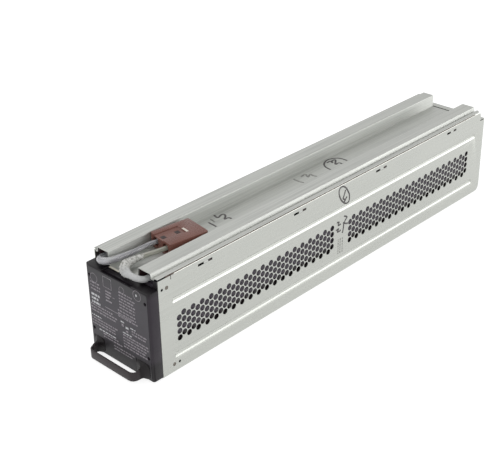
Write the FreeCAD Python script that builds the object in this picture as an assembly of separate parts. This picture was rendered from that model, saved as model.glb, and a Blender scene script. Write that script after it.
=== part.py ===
import FreeCAD, Part
import math
import os
from FreeCAD import Vector

os.makedirs("parts", exist_ok=True)

# Rack battery cartridge: a folded steel tray with a hat-railed cover, eight sealed
# batteries in a row, a moulded front bezel with a pull handle, and a two-pole
# connector that lies in the cover's channel. Lengths are in millimetres.
# While it is built, x runs from the left side, y from the bezel's front face to the
# rear, and z from the underside. Each piece is then moved to the part's own frame.

# Shared
sheet = 1.0
bend_inside = 0.5
touch_gap = 0.3
facet_sag = 0.15
wire_sides = 6

# Batteries
battery_count = 8
battery_width = 90.0
battery_length = 70.0
battery_height = 100.8
battery_gap = 0.2
battery_edge = 3.6
battery_foot_edge = 1.6
terminal_inset = 11.0
tab_width = 6.35
tab_thickness = 0.8
tab_height = 6.4

# Room round the row of batteries
side_room = 1.5
liner_thickness = 0.5
cover_room = 0.5
insulator_thickness = 0.3
insulator_margin = 2.0
pad_thickness = 1.5
pad_side_margin = 9.5
pad_bottom = 12.0
pad_top_margin = 8.0
rear_room = 4.3

# Cover section, measured inward from its own side of the body
rail_height = 15.5
ledge_drop = 2.9
groove_depth = 2.6
left_ledge_end = 2.6
left_groove_start = 3.3
left_groove_end = 4.6
left_rail_start = 5.6
channel_left = 22.0
right_rail_width = 18.2
right_rail_end = 10.0
right_groove_end = 8.5
right_groove_start = 6.6
right_ledge_width = 5.6
cover_side_gap = 0.5
cover_rear_margin = 11.2
cover_corner = 4.0

# Tray edges
right_flange = 4.0
flange_start = 21.5
front_edge_drop = 1.6
relief_position = 16.5
relief_width = 0.8
relief_depth = 6.0
rear_step = 9.2
rear_step_drop = 1.5
rear_shoulder = 6.0
rear_corner = 9.5
rear_wall_gap = 0.15
rear_flange_rise = 0.6
rear_flange_run = 10.2
rear_flange_drop = 0.8
weld_ear = 10.0
weld_ear_margin = 5.0

# Pressed beads along both sides
bead_low = 19.7
bead_high_drop = 30.9
bead_start = 16.9
bead_rear_margin = 18.5
bead_width = 6.4
bead_depth = 1.2
bead_insets = (0.0, 0.9, 2.0)
bead_back_growth = 0.4
bead_end_corner = 2.2

# Two perforated fields in the right side
hole_diameter = 6.2
hole_sides = 6
hole_first_y = 25.2
hole_end_margin = 36.0
hole_column_pitch = 6.43
hole_row_pitch = 7.94
hole_first_rise = 17.8
hole_last_drop = 15.0
plain_columns = 4

# Windows near the top of each side, each filled in part by a tab of the cover
hook_first = 53.8
hook_last_margin = 84.6
hook_count = 4
hook_window = 20.0
hook_drop = 7.9
hook_opening = 2.6
hook_tab_offset = 8.1
hook_tab_length = 9.0
tab_clearance = 0.15

# Round holes and dimples at the front of each side
upper_hole = 4.7
upper_hole_drop = 13.9
lower_hole = 22.9
lower_hole_height = 9.7
upper_dimple = 10.9
lower_dimple = 15.6
side_hole_diameter = 3.2
dimple_diameter = 4.4
dimple_depth = 0.4

# Front bezel
bezel_depth = 12.7
bezel_bottom = 1.7
bezel_rise = 0.4
bezel_wall = 2.6
bezel_corner = 2.5
rib_thickness = 1.6
rib_height = 7.0
rim_depth = 2.0
rim_wall = 2.2
rim_drop = 0.8
recess_left = 24.3
recess_right_margin = 25.5
recess_lip_drop = 1.4
recess_floor_drop = 1.8
recess_block = 7.4
trench_front = 1.0
trench_back = 4.6
trench_drop = 5.4
ear_width = 9.0
ear_drop = 4.0
ear_slant = 1.5
slot_margin = 1.0
side_slot_height = 20.0
side_slot_width = 0.8
side_slot_depth = 0.6

# Screws of the bezel, and the tabs of the tray that they bite into
screw_side = 5.5
screw_low = 28.6
screw_high_drop = 12.0
screw_shank = 2.2
screw_head = 3.6
screw_head_depth = 1.5
screw_clearance = 0.2
screw_end = 0.8
boss_wall = 1.4
tab_reach = 11.0
tab_half_height = 7.0

# Label
label_margin = 2.5
label_thickness = 0.3
label_top_margin = 1.8
label_bottom_margin = 2.0
label_corner = 2.0

# Pull handle
handle_left = 9.6
handle_right_margin = 14.5
handle_bottom = 2.0
handle_reach = 15.0
handle_band_top = 12.0
handle_arm_top = 13.8
handle_ramp = (6.0, 9.5)
handle_thickness = 1.8
handle_corner = 7.5
handle_root_top = 20.4
root_inner_spread = 9.0
root_left_spread = 5.0
root_right_spread = 9.5
root_stages = ((4.5, 0.0), (1.9, 0.25), (0.6, 1.0), (0.0, 1.0))
root_arm_corner = 0.3
root_corner = 4.0
handle_screw_height = 11.0
handle_screw_bite = 2.2

# Jumpers and the leads inside the rails
terminal_left = 12.0
terminal_rail_inset = 6.2
boot_width = 5.0
boot_length = 9.0
boot_height = 9.0
boot_fit = 0.1
jumper_wire = 4.0
cross_wire = 2.9
inner_lead_wire = 6.4
return_lead_inset = 12.8

# Two-pole connector lying in the channel
housing_width = 36.5
housing_length = 47.8
housing_height = 15.9
housing_corner = 2.0
housing_y = 89.4
housing_yaw = 8.5
pole_spacing = 17.8
wire_bore = 10.4
wire_bore_depth = 30.0
mouth_width = 13.6
mouth_height = 9.0
mouth_depth = 17.8
trough_left = -11.0
trough_right = 5.0
trough_length = 28.9
trough_depth = 1.4
trough_hole_width = 4.4
trough_hole_length = 3.6
trough_hole_left = -3.4
trough_holes = (3.4, 21.3)
barrel_diameter = 8.6
barrel_start = 3.9
barrel_length = 12.0
blade_width = 9.6
blade_thickness = 2.4
blade_end = 3.0
blade_drop = 1.2
spring_width = 6.0
spring_thickness = 0.5
spring_rise = 1.6
spring_tip = 3.5

# Leads
lead_left_diameter = 7.6
lead_right_diameter = 8.4
lead_straight = 5.5
lead_sides = 8
lead_stations = 28
# Along, across and above the channel's floor
lead_left_route = ((12, 26, 4.8), (12, 17.8, 4.8), (12.5, 11.0, 5.5), (16.4, 6.2, 6.9),
                   (22.1, 4.9, 8.3), (27.6, 7.7, 9.2), (30.1, 14.3, 9.2), (30.5, 24, 8.6),
                   (30.7, 34.5, 7.9), (30.4, 45.5, 7.5), (30.5, 54.5, 7.7))
lead_right_route = ((77, 27, 5.3), (77, 17.8, 5.3), (75.6, 10.8, 5.7), (70.6, 6.8, 7.0),
                    (63.8, 5.8, 7.6), (56.8, 6.2, 7.7), (50.4, 8.4, 7.6), (45.4, 13.0, 7.4),
                    (42.7, 19.8, 7.3), (42.0, 28.2, 7.3), (43.1, 37.4, 7.4), (45.4, 46.6, 7.6))

# Widths and heights that follow from the batteries and the rooms round them
body_width = battery_width + 2 * (sheet + side_room)
battery_floor = sheet + liner_thickness
battery_top = battery_floor + battery_height
channel_floor = battery_top + cover_room + sheet
rail_top = channel_floor + rail_height
ledge_top = rail_top - ledge_drop
groove_bottom = ledge_top - groove_depth
side_top = ledge_top - sheet
rear_step_height = channel_floor - rear_step_drop
rear_flange_top = channel_floor + rear_flange_rise
bezel_top = channel_floor + bezel_rise
rim_top = battery_top - rim_drop + touch_gap
hook_height = ledge_top - hook_drop
bead_heights = (bead_low, side_top - bead_high_drop)
screw_heights = (screw_low, bezel_top - screw_high_drop)
screw_sides = (screw_side, body_width - screw_side)
socket_z = channel_floor + housing_height / 2

# Places across the body
channel_right = body_width - right_rail_end - right_rail_width
recess_right = body_width - recess_right_margin
handle_right = body_width - handle_right_margin
terminal_right = channel_right + terminal_rail_inset
return_lead_x = channel_right + return_lead_inset
housing_x = (channel_left + channel_right) / 2

# Places along the body
tray_front = bezel_depth
tab_back = tray_front + sheet
battery_pitch = battery_length + battery_gap
row_start = tab_back + pad_thickness + touch_gap
row_end = row_start + battery_count * battery_pitch - battery_gap
tray_rear = row_end + rear_room + sheet
tray_length = tray_rear - tray_front
overall_length = handle_reach + tray_rear
cover_rear = tray_rear - cover_rear_margin
rim_back = tray_front + rim_depth
hook_pitch = (tray_length - hook_first - hook_last_margin) / (hook_count - 1)
pole_sides = (-pole_spacing / 2, pole_spacing / 2)
print("overall", body_width, overall_length, rail_top, "tray length", tray_length, "hook pitch", hook_pitch)


def box(x0, x1, y0, y1, z0, z1):
    return Part.makeBox(x1 - x0, y1 - y0, z1 - z0, Vector(x0, y0, z0))


def across(u, v):
    return Vector(u, 0, v)


def along(u, v):
    return Vector(0, u, v)


def level(u, v):
    return Vector(u, v, 0)


def polygon_face(points, to_3d):
    corners = [to_3d(u, v) for u, v in points]
    return Part.Face(Part.makePolygon(corners + [corners[0]]))


def prism(points, to_3d, start, sweep):
    solid = polygon_face(points, to_3d).extrude(sweep)
    solid.translate(start)
    return solid


def quarter_steps(radius):
    # How many flats stand for a quarter turn.
    return math.ceil(math.pi / 2 / math.sqrt(8 * facet_sag / radius))


def rounded_rectangle(u0, u1, v0, v1, radius, to_3d, start, sweep):
    # A rectangle with four round corners, swept into a solid.
    steps = quarter_steps(radius)
    points = []
    for u, v, quarter in ((u0 + radius, v0 + radius, 2), (u1 - radius, v0 + radius, 3),
                          (u1 - radius, v1 - radius, 0), (u0 + radius, v1 - radius, 1)):
        for step in range(steps + 1):
            angle = (quarter + step / steps) * math.pi / 2
            points.append((u + radius * math.cos(angle), v + radius * math.sin(angle)))
    return prism(points, to_3d, start, sweep)


def folded_sheet(path, to_3d, start, sweep, inside=bend_inside, thickness=sheet):
    # A bent sheet seen end on. The path is its outer face, the metal lies to its left,
    # and inside is the bend radius, one for all bends or one for each.
    radii = inside if isinstance(inside, tuple) else (inside,) * (len(path) - 2)

    def direction(a, b):
        length = math.hypot(b[0] - a[0], b[1] - a[1])
        return ((b[0] - a[0]) / length, (b[1] - a[1]) / length)

    def moved(point, way, distance):
        return (point[0] + way[0] * distance, point[1] + way[1] * distance)

    def left_of(way):
        return (-way[1], way[0])

    near = [path[0]]
    far = [moved(path[0], left_of(direction(path[0], path[1])), thickness)]
    for index in range(1, len(path) - 1):
        way_in = direction(path[index - 1], path[index])
        way_out = direction(path[index], path[index + 1])
        turn = math.atan2(way_in[0] * way_out[1] - way_in[1] * way_out[0],
                          way_in[0] * way_out[0] + way_in[1] * way_out[1])
        side = 1 if turn > 0 else -1
        near_radius = radii[index - 1] + (thickness if side > 0 else 0)
        far_radius = near_radius - side * thickness
        begin = moved(path[index], way_in, -near_radius * math.tan(abs(turn) / 2))
        centre = moved(begin, left_of(way_in), side * near_radius)
        steps = math.ceil(abs(turn) / (math.pi / 2) * quarter_steps(max(near_radius, far_radius)) - 0.01)
        heading = math.atan2(way_in[1], way_in[0])
        for step in range(steps + 1):
            angle = heading + turn * step / steps
            outward = (side * math.sin(angle), -side * math.cos(angle))
            near.append(moved(centre, outward, near_radius))
            far.append(moved(centre, outward, far_radius))
    near.append(path[-1])
    far.append(moved(path[-1], left_of(direction(path[-2], path[-1])), thickness))
    return prism(near + far[::-1], to_3d, start, sweep)


def cylinder(diameter, length, base, way):
    # A round with flats, from base along way.
    sides = 4 * quarter_steps(diameter / 2)
    angles = [2 * math.pi * step / sides for step in range(sides)]
    ring = [(diameter / 2 * math.cos(angle), diameter / 2 * math.sin(angle)) for angle in angles]
    solid = prism(ring, level, Vector(0, 0, 0), Vector(0, 0, length))
    solid.Placement = FreeCAD.Placement(base, FreeCAD.Rotation(Vector(0, 0, 1), way))
    return solid


def cornered(u0, u1, v0, v1, corner):
    # The outline of a rectangle whose corners are cut off.
    return ((u0 + corner, v0), (u1 - corner, v0), (u1, v0 + corner), (u1, v1 - corner),
            (u1 - corner, v1), (u0 + corner, v1), (u0, v1 - corner), (u0, v0 + corner))


def stacked(rings):
    # A solid with flat faces through rings of matching corners.
    outlines = [rings[0], rings[-1]]
    for low, high in zip(rings, rings[1:]):
        for index in range(len(low)):
            outlines.append([low[index - 1], low[index], high[index], high[index - 1]])
    faces = [Part.Face(Part.makePolygon(outline + [outline[0]])) for outline in outlines]
    solid = Part.Solid(Part.Shell(faces))
    if solid.Volume < 0:
        solid.reverse()
    return solid


def bead_block(plane_x, inward, height, grow):
    # A long trough, rounded across and at its ends, sunk inward from plane_x.
    y0, y1 = tray_front + bead_start - grow, tray_rear - bead_rear_margin + grow
    half_width = bead_width / 2
    radius = (half_width ** 2 + bead_depth ** 2) / (2 * bead_depth)
    rings = []
    for inset in bead_insets:
        depth = math.sqrt(radius ** 2 - (half_width - inset) ** 2) - radius + bead_depth
        half = half_width + grow - inset
        outline = cornered(y0 + inset, y1 - inset, height - half, height + half,
                           min(bead_end_corner, half / 2))
        rings.append([Vector(plane_x + inward * depth, y, z) for y, z in outline])
    return stacked(rings)


def perforations():
    # Two staggered fields of holes through the right side, with a plain stretch between.
    low, high = bead_heights
    rows = int((high - low - hole_first_rise - hole_last_drop) / hole_row_pitch)
    columns = int((tray_length - hole_first_y - hole_end_margin) / hole_column_pitch) + 1
    field = (columns - plain_columns) // 2
    corner_angles = [math.radians(90 + 360 * step / hole_sides) for step in range(hole_sides)]
    cutters = []
    for column in list(range(field)) + list(range(field + plain_columns, 2 * field + plain_columns)):
        y = tray_front + hole_first_y + column * hole_column_pitch
        for row in range(rows):
            z = low + hole_first_rise + (row + 0.5 * (column % 2)) * hole_row_pitch
            ring = [(y + hole_diameter / 2 * math.cos(a), z + hole_diameter / 2 * math.sin(a))
                    for a in corner_angles]
            cutters.append(prism(ring, along, Vector(body_width - 2 * sheet, 0, 0),
                                 Vector(3 * sheet, 0, 0)))
    print("holes in the right side", len(cutters))
    return cutters


def hook_positions():
    return [tray_front + hook_first + index * hook_pitch for index in range(hook_count)]


def rear_shoulder_cut():
    # What the sides lose at the rear top: a rounded shoulder down to a low ledge.
    corner_y = tray_rear - rear_step
    top_y = corner_y - rear_shoulder
    arc_z = side_top - rear_shoulder
    middle = along(top_y + rear_shoulder * math.sin(math.pi / 4),
                   arc_z + rear_shoulder * math.cos(math.pi / 4))
    corners = [along(top_y, side_top), along(top_y, side_top + 1), along(tray_rear + 1, side_top + 1),
               along(tray_rear + 1, rear_step_height), along(corner_y, rear_step_height),
               along(corner_y, arc_z)]
    edges = [Part.LineSegment(a, b).toShape() for a, b in zip(corners, corners[1:])]
    edges.append(Part.Arc(corners[-1], middle, corners[0]).toShape())
    cut = Part.Face(Part.Wire(edges)).extrude(Vector(body_width + 2, 0, 0))
    cut.translate(Vector(-1, 0, 0))
    return cut


def rear_wall():
    # The tray's rear, bent up from the bottom in a large radius and over at the top,
    # where its flange is as wide as the body.
    inner = sheet + rear_wall_gap
    path = ((tray_rear - 2 * rear_corner, 0), (tray_rear, 0), (tray_rear, rear_flange_top),
            (tray_rear - rear_flange_run, rear_flange_top))
    wall = folded_sheet(path, along, Vector(inner, 0, 0), Vector(body_width - 2 * inner, 0, 0),
                        inside=(rear_corner - sheet, bend_inside))
    head = ((tray_rear, rear_flange_top - sheet - rear_flange_drop), (tray_rear, rear_flange_top),
            (tray_rear - rear_flange_run, rear_flange_top))
    wide = folded_sheet(head, along, Vector(touch_gap, 0, 0), Vector(body_width - 2 * touch_gap, 0, 0))
    ear_spans = ((sheet / 2, sheet + weld_ear), (body_width - sheet - weld_ear, body_width - sheet / 2))
    ears = [box(x0, x1, tray_rear - 2 * sheet, tray_rear - sheet, rear_corner + weld_ear_margin,
                rear_step_height - weld_ear_margin) for x0, x1 in ear_spans]
    return [wall, wide] + ears


def tray_shell():
    # One sheet: the bottom, both sides with their beads, the rear wall and the flanges.
    section = ((0, side_top), (0, 0), (body_width, 0), (body_width, side_top),
               (body_width - right_flange, side_top))
    shell = folded_sheet(section, across, Vector(0, tray_front, 0), Vector(0, tray_length, 0))
    corner = box(-1, body_width + 1, tray_rear - rear_corner, tray_rear + 1, -1, rear_corner)
    corner = corner.cut(cylinder(2 * rear_corner, body_width + 4,
                                 Vector(-2, tray_rear - rear_corner, rear_corner), Vector(1, 0, 0)))
    shell = shell.cut([corner, rear_shoulder_cut()])
    tabs = []
    for height in screw_heights:
        for x0, x1 in ((sheet / 2, tab_reach), (body_width - tab_reach, body_width - sheet / 2)):
            tabs.append(box(x0, x1, tray_front, tab_back, height - tab_half_height, height + tab_half_height))
    backs = [bead_block(sheet, 1, height, bead_back_growth) for height in bead_heights]
    backs += [bead_block(body_width - sheet, -1, height, bead_back_growth) for height in bead_heights]
    shell = shell.fuse(tabs + backs + rear_wall())
    cuts = [bead_block(0, 1, height, 0) for height in bead_heights]
    cuts += [bead_block(body_width, -1, height, 0) for height in bead_heights]
    cuts.append(box(-1, body_width + 1, tray_front - 1, tray_front + flange_start,
                    side_top - front_edge_drop, side_top + 1))
    cuts.append(box(-1, body_width + 1, tray_front + relief_position,
                    tray_front + relief_position + relief_width,
                    side_top - relief_depth, side_top + 1))
    for start in hook_positions():
        cuts.append(box(-1, body_width + 1, start, start + hook_window,
                        hook_height - hook_opening / 2, hook_height + hook_opening / 2))
        notch_start = start + hook_tab_offset - 2 * touch_gap
        notch_end = start + hook_tab_offset + hook_tab_length + 2 * touch_gap
        cuts.append(box(body_width - right_flange - 1, body_width - sheet, notch_start, notch_end,
                        side_top - 2 * sheet, side_top + 1))
    upper_z = ledge_top - upper_hole_drop
    for behind, z in ((upper_hole, upper_z), (lower_hole, lower_hole_height)):
        cuts.append(cylinder(side_hole_diameter, body_width + 2,
                         Vector(-1, tray_front + behind, z), Vector(1, 0, 0)))
    for behind, z in ((upper_dimple, upper_z), (lower_dimple, lower_hole_height)):
        for x in (-1, body_width - dimple_depth):
            cuts.append(cylinder(dimple_diameter, 1 + dimple_depth,
                                 Vector(x, tray_front + behind, z), Vector(1, 0, 0)))
    for z in screw_heights:
        for x in screw_sides:
            cuts.append(cylinder(screw_shank + boot_fit, 3 * sheet, Vector(x, tray_front - sheet, z),
                                 Vector(0, 1, 0)))
    return shell.cut(cuts).cut(perforations())


def cover_section():
    # The cover's upper face from right to left: ledge, groove, rail, channel, rail,
    # groove and ledge.
    return ((body_width - cover_side_gap, ledge_top), (body_width - right_ledge_width, ledge_top),
            (body_width - right_groove_start, groove_bottom),
            (body_width - right_groove_end, groove_bottom),
            (body_width - right_rail_end, rail_top), (channel_right, rail_top),
            (channel_right, channel_floor), (channel_left, channel_floor), (channel_left, rail_top),
            (left_rail_start, rail_top), (left_groove_end, groove_bottom),
            (left_groove_start, groove_bottom), (left_ledge_end, ledge_top), (cover_side_gap, ledge_top))


def hook_tab_section():
    # A tab that drops from the left ledge and steps out through the side's window.
    inner = sheet + tab_clearance
    outer = tab_clearance / 2
    lip = hook_opening / 2 - tab_clearance
    return ((inner, ledge_top - sheet / 2), (inner, hook_height + lip), (outer, hook_height + lip),
            (outer, hook_height - lip), (inner, hook_height - lip), (inner, hook_height - 3 * lip),
            (inner + sheet, hook_height - 3 * lip), (inner + sheet, ledge_top - sheet / 2))


def top_cover():
    # One sheet with a channel between two raised rails, and hook tabs at both sides.
    cover = folded_sheet(cover_section(), across, Vector(0, tray_front, 0),
                         Vector(0, cover_rear - tray_front, 0))
    tabs = []
    for start in hook_positions():
        y0 = start + hook_tab_offset
        for section in (hook_tab_section(), tuple((body_width - u, v) for u, v in hook_tab_section())):
            tabs.append(prism(section, across, Vector(0, y0, 0), Vector(0, hook_tab_length, 0)))
    cover = cover.fuse(tabs)
    corners = []
    for edge, way in ((cover_side_gap, 1), (body_width - cover_side_gap, -1)):
        centre = edge + way * cover_corner
        outside = edge - way
        block = box(min(outside, centre), max(outside, centre), cover_rear - cover_corner, cover_rear + 1,
                    groove_bottom - 2 * sheet, ledge_top + 1)
        corners.append(block.cut(cylinder(2 * cover_corner, rail_height,
                                          Vector(centre, cover_rear - cover_corner,
                                                 groove_bottom - 3 * sheet), Vector(0, 0, 1))))
    return cover.cut(corners)


def handle_roots():
    # Where each arm's root starts and ends along the bezel's face.
    inner = handle_thickness + root_inner_spread
    return ((handle_left - root_left_spread, handle_left + inner),
            (handle_right - inner, handle_right + root_right_spread))


def handle_screw_sides():
    return (handle_left + handle_thickness / 2, handle_right - handle_thickness / 2)


def bezel_spigot():
    # The thin wall at the bezel's back that goes inside the tray, notched for its tabs,
    # and the ear that closes the corner beside the right rail.
    left = sheet + touch_gap / 2
    right = body_width - left
    bottom = left
    spigot = box(left, right, tray_front - bezel_wall, rim_back, bottom, rim_top)
    spigot = spigot.cut(box(left + rim_wall, right - rim_wall, 0, rim_back + 1,
                            bottom + rim_wall, rim_top - rim_wall))
    notches = [box(-1, body_width + 1, tray_front, rim_back + 1, z - tab_half_height - touch_gap,
                   z + tab_half_height + touch_gap) for z in screw_heights]
    ear_top = ledge_top - ear_drop
    ear = prism(((body_width - ear_width, rim_top - rim_wall), (right, rim_top - rim_wall), (right, ear_top),
                 (body_width - ear_width + ear_slant, ear_top)), across,
                Vector(0, tray_front + touch_gap, 0), Vector(0, rim_depth - touch_gap, 0))
    return spigot.cut(notches).fuse(ear)


def front_bezel():
    # Moulded front: a shallow shell open at the back, with a scooped top, ribs and
    # bosses for its screws.
    outer = rounded_rectangle(0, body_width, 0, bezel_depth + bezel_corner, bezel_corner, level,
                              Vector(0, 0, bezel_bottom), Vector(0, 0, bezel_top - bezel_bottom))
    outer = outer.cut(box(-1, body_width + 1, bezel_depth, bezel_depth + 2 * bezel_corner,
                          0, bezel_top + 1))
    cavity = box(bezel_wall, body_width - bezel_wall, bezel_wall, bezel_depth + 1,
                 bezel_bottom + bezel_wall, bezel_top - bezel_wall)
    recess_floor = bezel_top - recess_floor_drop
    under = box(recess_left - bezel_wall, recess_right + bezel_wall, 0, bezel_depth,
                bezel_top - recess_block, bezel_top)
    keep = [under]
    for x in screw_sides:
        for z in screw_heights:
            keep.append(cylinder(screw_head + 2 * boss_wall, bezel_depth, Vector(x, 0, z), Vector(0, 1, 0)))
    for x in (recess_left, body_width / 2, recess_right):
        keep.append(box(x - rib_thickness / 2, x + rib_thickness / 2, 0, bezel_wall + rib_height,
                        bezel_bottom, bezel_top - bezel_wall))
    keep.append(box(0, body_width, 0, bezel_wall + rib_height, bezel_top / 2 - rib_thickness / 2,
                    bezel_top / 2 + rib_thickness / 2))
    for x in handle_screw_sides():
        keep.append(cylinder(screw_head + 2 * boss_wall, bezel_wall + rib_height / 2,
                             Vector(x, 0, handle_screw_height), Vector(0, 1, 0)))
    body = outer.cut(cavity.cut(keep)).fuse(bezel_spigot())
    cuts = [box(recess_left, recess_right, y0, y1, z0, bezel_top + 1)
            for y0, y1, z0 in ((-1, trench_back, bezel_top - recess_lip_drop),
                               (trench_front, trench_back, bezel_top - trench_drop),
                               (trench_front, bezel_depth + 1, recess_floor))]
    for x in screw_sides:
        for z in screw_heights:
            cuts.append(cylinder(screw_shank + screw_clearance, bezel_depth + 2, Vector(x, -1, z),
                                 Vector(0, 1, 0)))
            cuts.append(cylinder(screw_head + 2 * screw_clearance, 1 + screw_seat(), Vector(x, -1, z),
                                 Vector(0, 1, 0)))
    for x in handle_screw_sides():
        cuts.append(cylinder(screw_shank + screw_clearance, bezel_depth, Vector(x, -1, handle_screw_height),
                             Vector(0, 1, 0)))
        cuts.append(cylinder(screw_head + 2 * screw_clearance, bezel_depth,
                             Vector(x, bezel_wall, handle_screw_height), Vector(0, 1, 0)))
    slot_bottom = bezel_bottom + slot_margin
    for x in (-1, body_width - side_slot_depth):
        cuts.append(box(x, x + 1 + side_slot_depth, bezel_corner / 2, bezel_corner / 2 + side_slot_width,
                        slot_bottom, slot_bottom + side_slot_height))
    return body.cut(cuts)


def screw_seat():
    return bezel_depth - bezel_wall


def pan_screw(seat, length, way):
    # Along y: the head ahead of its seat, and the shank beyond it.
    head = cylinder(screw_head, screw_head_depth, seat - way * screw_head_depth, way)
    return head.fuse(cylinder(screw_shank, length, seat, way)).removeSplitter()


def bezel_screws():
    # Four screws, sunk in the bezel's bosses and threaded into the tray's tabs.
    length = tab_back + screw_end - screw_seat()
    return Part.makeCompound([pan_screw(Vector(x, screw_seat(), z), length, Vector(0, 1, 0))
                              for x in screw_sides for z in screw_heights])


def front_label():
    label = rounded_rectangle(label_margin, body_width - label_margin,
                              bezel_bottom + label_bottom_margin, bezel_top - label_top_margin,
                              label_corner, across, Vector(0, -label_thickness, 0),
                              Vector(0, label_thickness, 0))
    holes = [cylinder(screw_head + 2 * touch_gap, 3 * label_thickness, Vector(x, -2 * label_thickness, z),
                      Vector(0, 1, 0)) for x in screw_sides for z in screw_heights]
    feet = [box(x0 - touch_gap, x1 + touch_gap, -1, 1, 0, handle_root_top + touch_gap)
            for x0, x1 in handle_roots()]
    return label.cut(holes + feet)


def handle_root(arm_left, root):
    # The arm spreads in a hollow curve, faceted, until it lies flat on the bezel.
    arm = (arm_left, arm_left + handle_thickness)
    stages = []
    for reach, share in root_stages:
        x0 = arm[0] + (root[0] - arm[0]) * share
        x1 = arm[1] + (root[1] - arm[1]) * share
        top = handle_arm_top + (handle_root_top - handle_arm_top) * share
        corner = root_arm_corner + (root_corner - root_arm_corner) * share
        outline = cornered(x0, x1, handle_bottom, top, corner)
        stages.append([Vector(x, -reach, z) for x, z in outline])
    return stacked(stages)


def pull_handle():
    # A thin band bent round in plan, with arms that rise a little and spread at their
    # roots on the bezel's face.
    band = ((handle_left, 0), (handle_left, -handle_reach), (handle_right, -handle_reach), (handle_right, 0))
    loop = folded_sheet(band, level, Vector(0, 0, handle_bottom),
                        Vector(0, 0, handle_arm_top - handle_bottom),
                        inside=handle_corner - handle_thickness, thickness=handle_thickness)
    outside = handle_reach + 1
    ramp_start, ramp_end = handle_ramp
    top = prism(((-ramp_start, handle_arm_top), (-ramp_end, handle_band_top), (-outside, handle_band_top),
                 (-outside, handle_arm_top + 1), (-ramp_start, handle_arm_top + 1)),
                along, Vector(0, 0, 0), Vector(body_width, 0, 0))
    arms = (handle_left, handle_right - handle_thickness)
    roots = [handle_root(arm_left, root) for arm_left, root in zip(arms, handle_roots())]
    holes = [cylinder(screw_shank, handle_screw_bite, Vector(x, -handle_screw_bite, handle_screw_height),
                 Vector(0, 1, 0)) for x in handle_screw_sides()]
    return loop.cut(top).fuse(roots).cut(holes)


def handle_screws():
    # Two screws from inside the bezel, threaded into the handle's feet.
    length = bezel_wall + handle_screw_bite
    return Part.makeCompound([pan_screw(Vector(x, bezel_wall, handle_screw_height), length, Vector(0, -1, 0))
                              for x in handle_screw_sides()])


def battery_start(index):
    return row_start + index * battery_pitch


def terminal_at_rear(index):
    # The cases are turned end for end, one after the other, except at the middle,
    # where two neighbours stand the same way round.
    turned = index % 2 == 1
    return not turned if index < battery_count // 2 else turned


def terminal_y(index):
    if terminal_at_rear(index):
        return battery_start(index) + battery_length - terminal_inset
    return battery_start(index) + terminal_inset


def battery(index):
    # A sealed case with sloping edges along its top and bottom, and two upright tabs.
    left = (body_width - battery_width) / 2
    y0 = battery_start(index)
    half, top, edge = battery_length / 2, battery_top, battery_edge
    case = box(left, left + battery_width, y0, y0 + battery_length, battery_floor, top)
    roof = prism(((-half - 1, top - edge - 1), (-half - 1, top + 1), (-half + edge + 1, top + 1)),
                 along, Vector(left - 1, y0 + half, 0), Vector(battery_width + 2, 0, 0))
    sole = prism(((-half - 1, battery_floor + battery_foot_edge + 1), (-half - 1, battery_floor - 1),
                  (-half + battery_foot_edge + 1, battery_floor - 1)),
                 along, Vector(left - 1, y0 + half, 0), Vector(battery_width + 2, 0, 0))
    middle = Vector(0, y0 + half, 0)
    case = case.cut([roof, sole] + [wedge.mirror(middle, Vector(0, 1, 0)) for wedge in (roof, sole)])
    tabs = [box(x - tab_thickness / 2, x + tab_thickness / 2, terminal_y(index) - tab_width / 2,
                terminal_y(index) + tab_width / 2, top - 1, top + tab_height)
            for x in (terminal_left, terminal_right)]
    return case.fuse(tabs)


def tab_slot(x, y, extra=0.0):
    # The room that a battery's tab needs, wider by extra at each side.
    half = tab_thickness / 2 + boot_fit + extra
    return box(x - half, x + half, y - tab_width / 2 - boot_fit, y + tab_width / 2 + boot_fit,
               battery_top - 1, battery_top + tab_height + boot_fit)


def boot(x, y):
    # The sleeved push-on receptacle over a battery's tab.
    sleeve = box(x - boot_width / 2, x + boot_width / 2, y - boot_length / 2, y + boot_length / 2,
                 battery_top, battery_top + boot_height)
    return sleeve.cut(tab_slot(x, y))


def bent_wire(points, diameter, sides=wire_sides):
    # Straight pieces with flats, mitred at each bend.
    corners = [Vector(*point) for point in points]
    ways = [(end - start).normalize() for start, end in zip(corners, corners[1:])]
    across_first = FreeCAD.Rotation(Vector(0, 0, 1), ways[0])
    angles = [2 * math.pi * (step + 0.5) / sides for step in range(sides)]
    rings = [[corners[0] + across_first.multVec(Vector(math.cos(angle), math.sin(angle), 0)) * (diameter / 2)
              for angle in angles]]
    for corner, way, next_way in zip(corners[1:], ways, ways[1:] + ways[-1:]):
        mitre = way + next_way
        rings.append([point + way * ((corner - point).dot(mitre) / way.dot(mitre)) for point in rings[-1]])
    return stacked(rings)


def wired_boots(wire, *places):
    # A wire whose ends go into boots, clear of the tabs inside them.
    hollow = wire.cut([tab_slot(x, y, boot_width / 2) for x, y in places])
    return hollow.fuse([boot(x, y) for x, y in places]).removeSplitter()


def jumper_side(index):
    # Left or right, by turns. The turns change over at the middle of the row.
    crossed = index >= battery_count // 2
    return terminal_left if (index % 2 == 1) != crossed else terminal_right


def jumper(index):
    # Joins a battery to the next one. The middle jumper crosses between two cases.
    y0, y1 = terminal_y(index), terminal_y(index + 1)
    wire_z = battery_top + boot_height - jumper_wire / 2
    if index != battery_count // 2 - 1:
        x = jumper_side(index)
        return wired_boots(bent_wire(((x, y0, wire_z), (x, y1, wire_z)), jumper_wire), (x, y0), (x, y1))
    valley_y = battery_start(index + 1) - battery_gap / 2
    low_z = battery_top - battery_edge + cross_wire * math.sqrt(0.5)
    high_z = battery_top + cross_wire
    points = ((terminal_left, y0, wire_z), (terminal_left, valley_y, high_z),
              (terminal_left, valley_y, low_z), (terminal_right, valley_y, low_z),
              (terminal_right, valley_y, high_z), (terminal_right, y1, wire_z))
    return wired_boots(bent_wire(points, cross_wire), (terminal_left, y0), (terminal_right, y1))


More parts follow.
